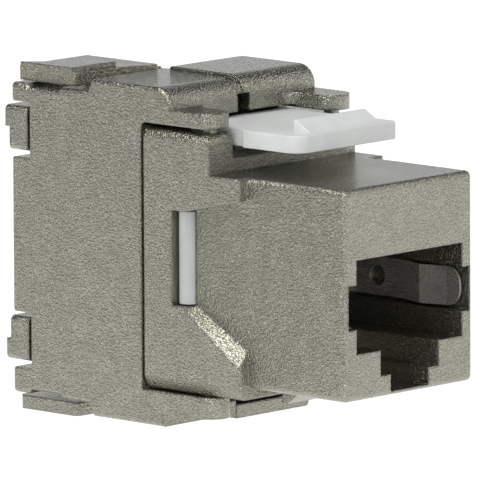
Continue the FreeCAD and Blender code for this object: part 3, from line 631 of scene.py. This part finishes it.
@dataclass
class SpringLatch:
    """The latch with its wide, round-cornered tip, in place of the plain one."""

    half_width: float = 5.8 * MM
    tail_half: float = 5.35 * MM
    front: float = 6.4 * MM
    shoulder: float = 12.2 * MM
    back: float = 18.2 * MM
    low: float = 11.27 * MM
    high: float = 12.65 * MM
    left_round: float = 1.4 * MM
    right_round: float = 0.6 * MM
    catch_half: float = 4.05 * MM
    catch_toe: float = 0.15 * MM
    catch_back: float = 8.45 * MM
    catch_high: float = 0.98 * MM
    catch_crest: float = 0.1 * MM
    foot_half: float = 3.2 * MM
    foot_front: float = 15.5 * MM
    foot_back: float = 17.3 * MM
    foot_low: float = 9.23 * MM
    sunk: float = 0.1 * MM
    edge: float = 0.2 * MM
    finish: MouldedPlastic = LATCH_PLASTIC

    def plate(self) -> list[Point]:
        """Trace the plate, with its rounded tip and its narrower tail, seen from above.

        Returns:
            The corners of its outline.
        """
        left = arc((self.left_round - self.half_width, self.front + self.left_round),
                   self.left_round, 180, 270)
        right = arc((self.half_width - self.right_round, self.front + self.right_round),
                    self.right_round, 270, 360)
        step = self.half_width - self.tail_half
        return [(-self.tail_half, self.back), (-self.tail_half, self.shoulder + step),
                (-self.half_width, self.shoulder), *left, *right,
                (self.half_width, self.shoulder), (self.tail_half, self.shoulder + step),
                (self.tail_half, self.back)]

    def catch(self) -> list[Point]:
        """Return the catch's outline, seen from the side: a ramp with an upright back."""
        crest = self.high + self.catch_high
        return [(self.front + self.catch_toe, self.high),
                (self.catch_back, self.high - self.sunk),
                (self.catch_back, crest), (self.catch_back - self.catch_crest, crest)]

    def foot(self) -> list[Point]:
        """Return the foot's outline, seen from above."""
        return [(-self.foot_half, self.foot_front), (self.foot_half, self.foot_front),
                (self.foot_half, self.foot_back), (-self.foot_half, self.foot_back)]

    def mesh(self) -> bpy.types.Mesh:
        """Build the plate with the catch on it and the foot under it.

        Returns:
            The mesh.
        """
        form = bmesh.new()
        prism(form, self.plate(), self.low, self.high)
        prism(form, self.catch(), -self.catch_half, self.catch_half, upright=False)
        prism(form, self.foot(), self.foot_low, self.low + self.sunk)
        bmesh.ops.recalc_face_normals(form, faces=form.faces)
        made = bpy.data.meshes.new("spring_latch")
        form.to_mesh(made)
        form.free()
        return made

    def build(self) -> bpy.types.Object:
        """Build the latch and let it stand for the CAD one.

        Returns:
            The latch.
        """
        piece = add_object("spring_latch", self.mesh())
        piece.data.materials.append(self.finish.material())
        soften(piece, self.edge)
        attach(piece, Body.LATCH.value)
        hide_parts("latch")
        return piece


@dataclass
class Jack:
    """The whole jack: its CAD nodes in groups, and the latch."""

    contacts: int = 8

    def numbered(self, name: str) -> tuple[str, ...]:
        """Return the names of the nodes that each contact has one of."""
        return tuple(f"{name}_{k}" for k in range(1, self.contacts + 1))

    def groups(self) -> list[NodeGroup]:
        """Return the CAD nodes in groups of one finish."""
        return [
            NodeGroup(("housing", "left_wing", "right_wing"), Slot.CAST_METAL,
                      SandblastedNickel(), edge=0.22 * MM),
            NodeGroup(("blade_holder",), Slot.WHITE_PLASTIC, SHADED_HOLDER_PLASTIC, edge=0.15 * MM),
            NodeGroup(("contact_carrier",), Slot.DARK_PLASTIC, CARRIER_PLASTIC, edge=0.1 * MM),
            NodeGroup(("wire_cap",), Slot.GREY_PLASTIC, CAP_PLASTIC, edge=0.15 * MM),
            NodeGroup(("circuit_board",), Slot.BOARD, BoardLaminate(), edge=0.03 * MM),
            NodeGroup(("shield_spring_left", "shield_spring_right"), Slot.SPRING_STEEL,
                      SPRING_STRIP, edge=0.03 * MM),
            NodeGroup(self.numbered("contact"), Slot.GOLD, CONTACT_STRIP, edge=0.05 * MM),
            NodeGroup(self.numbered("blade"), Slot.TIN, BLADE_STRIP, edge=0.04 * MM),
        ]

    def build(self) -> None:
        """Dress every group, build the latch and log each piece."""
        for group in self.groups():
            for piece in group.dress():
                LOG.info("dressed %s as %s", piece.name, group.slot.value)
        LOG.info("built %s", SpringLatch().build().name)


@dataclass
class Lamp:
    """A soft square lamp aimed at the jack."""

    name: str
    place: Triple
    size: float
    power: float
    shines: bool = True
    lights: bool = True

    def build(self, aim: Vector) -> None:
        """Add the lamp.

        Args:
            aim: point that it is aimed at, and that its place is counted from.
        """
        data = bpy.data.lights.new(self.name, "AREA")
        data.size = self.size
        data.energy = self.power
        lamp = add_object(self.name, data)
        offset = Vector(self.place)
        lamp.location = aim + offset
        lamp.rotation_euler = (-offset).to_track_quat("-Z", "Y").to_euler()
        lamp.visible_glossy = self.shines
        lamp.visible_diffuse = self.lights


@dataclass
class Eye:
    """The camera. Its angles are in degrees, and its lens and sensor are in millimetres."""

    azimuth: float = -46.84
    elevation: float = 9.0
    roll: float = -0.27
    distance: float = 882.55 * MM
    lift: float = 2.07 * MM
    lens: float = 842.5
    sensor: float = 36.0

    def build(self, target: Vector) -> None:
        """Add the camera and make it the scene's.

        Args:
            target: point that it circles.
        """
        turn = math.radians(self.azimuth)
        rise = math.radians(self.elevation)
        back = Vector((math.sin(turn) * math.cos(rise), -math.cos(turn) * math.cos(rise),
                       math.sin(rise)))
        place = target + back * self.distance
        aim = target + Vector((0.0, 0.0, self.lift / math.cos(rise)))
        data = bpy.data.cameras.new("camera")
        data.lens = self.lens
        data.sensor_width = self.sensor
        camera = add_object("camera", data)
        camera.matrix_world = (Matrix.Translation(place)
                               @ (aim - place).to_track_quat("-Z", "Y").to_matrix().to_4x4()
                               @ Matrix.Rotation(math.radians(self.roll), 4, "Z"))
        bpy.context.scene.camera = camera


@dataclass
class Surround:
    """World that is white to the eye and lights evenly.

    To a reflection it is a wall, pale on one side of the jack, with a dim top.
    """

    ambient: float = 0.42
    pale_side: Triple = (0.73, 0.68, 0.0)
    wall_span: Span = (0.2, 0.8)
    wall_dim: float = 0.25
    wall_pale: float = 0.85
    top_span: Span = (0.16, 0.46)
    top_tone: float = 0.04

    def build(self) -> None:
        """Make the world and give it to the scene."""
        world = bpy.data.worlds.new("surround")
        world.use_nodes = True
        bpy.context.scene.world = world
        graph = Graph(world.node_tree)
        toward = graph.node("ShaderNodeTexCoord")["Generated"]
        side = graph.vector_math("DOT_PRODUCT", toward, self.pale_side)["Value"]
        wall = graph.blend(side.ramp(self.wall_span), grey(self.wall_dim), grey(self.wall_pale))
        height = graph.along(toward, "Z").ramp(self.top_span)
        mirrored = graph.blend(height, wall, grey(self.top_tone))
        shown = graph.blend(graph.ray("Camera"), mirrored, WHITE)
        look = graph.node("ShaderNodeBackground", None, {"Color": shown, "Strength": 1.0})
        light = graph.node("ShaderNodeBackground", None,
                           {"Color": opaque(WHITE), "Strength": self.ambient})
        mixed = graph.choice(graph.seen(), light, look)
        graph.node("ShaderNodeOutputWorld", None, {"Surface": mixed[0]})


@dataclass
class PaperFloor:
    """Floor just under the jack: white to the eye, with a soft shadow, and clear from below.

    To a reflection its glow falls off towards the left, along X.
    """

    half: float = 1.2
    gap: float = 0.01 * MM
    fibre: float = 3.0 * MM
    paper_dark: float = 0.8
    paper_pale: float = 0.84
    glow: float = 1.25
    glow_share: float = 0.85
    fall_off: Span = (-0.115, -0.015)
    left_tone: float = 0.58
    tone_gain: float = 0.42
    eye_tone: float = 0.92

    def mesh(self) -> bpy.types.Mesh:
        """Build one square face, a gap below the lowest point of the jack.

        Returns:
            The mesh.
        """
        level = CAD_BOX[0][2] - self.gap
        signs = ((-1, -1), (1, -1), (1, 1), (-1, 1))
        corners = [(x * self.half, y * self.half, level) for x, y in signs]
        made = bpy.data.meshes.new("floor")
        made.from_pydata(corners, [], [(0, 1, 2, 3)])
        return made

    def material(self) -> bpy.types.Material:
        """Build the paper, its glow and its clear underside.

        Returns:
            The material.
        """
        made, graph = new_material("floor_paper")
        fibre = graph.noise(self.fibre, detail=3.0)
        colour = graph.blend(fibre, grey(self.paper_dark), grey(self.paper_pale))
        paper = graph.node("ShaderNodeBsdfDiffuse", None, {"Color": colour})
        across = graph.along(graph.spot(), "X").ramp(self.fall_off)
        mirrored = across * self.tone_gain + self.left_tone
        level = mirrored.highest(graph.ray("Camera") * self.eye_tone)
        tone = graph.blend(level, BLACK, WHITE)
        glow = graph.node("ShaderNodeEmission", None, {"Color": tone, "Strength": self.glow})
        bright = graph.choice(self.glow_share, paper, glow)
        top = graph.choice(graph.seen(), paper, bright)
        clear = graph.node("ShaderNodeBsdfTransparent")
        below = graph.node("ShaderNodeNewGeometry")["Backfacing"]
        sided = graph.choice(below, top, clear)
        graph.node("ShaderNodeOutputMaterial", None, {"Surface": sided[0]})
        return made

    def build(self) -> None:
        """Add the floor."""
        floor = add_object("floor", self.mesh())
        floor.data.materials.append(self.material())
        LOG.info("built %s", floor.name)


@dataclass
class Studio:
    """The camera, the surround, the floor and the lamps."""

    target: Triple = (0.0, 18.0 * MM, 0.63 * MM)
    lamps: list[Lamp] = field(default_factory=lambda: [
        Lamp("key", (-0.22, -0.09, 0.55), size=0.42, power=1.35, shines=False),
        Lamp("sparkle", (-0.33, -0.02, 0.5), size=0.42, power=3.6, lights=False),
        Lamp("glint", (0.48, -0.27, 0.33), size=0.3, power=0.65, lights=False),
        Lamp("front", (-0.1, -0.6, 0.2), size=0.4, power=0.75),
        Lamp("side", (-0.6, 0.1, 0.15), size=0.4, power=0.8, shines=False),
    ])

    def build(self) -> None:
        """Build the whole studio round a point inside the jack."""
        target = Vector(self.target)
        Eye().build(target)
        Surround().build()
        PaperFloor().build()
        for lamp in self.lamps:
            lamp.build(target)
            LOG.info("placed lamp %s", lamp.name)


def main() -> None:
    """Build the studio and the jack."""
    logging.basicConfig(level=logging.INFO, format="%(message)s")
    bpy.context.scene.view_settings.view_transform = "Standard"
    Studio().build()
    Jack().build()
    bpy.context.view_layer.update()


if __name__ == "__main__":
    main()
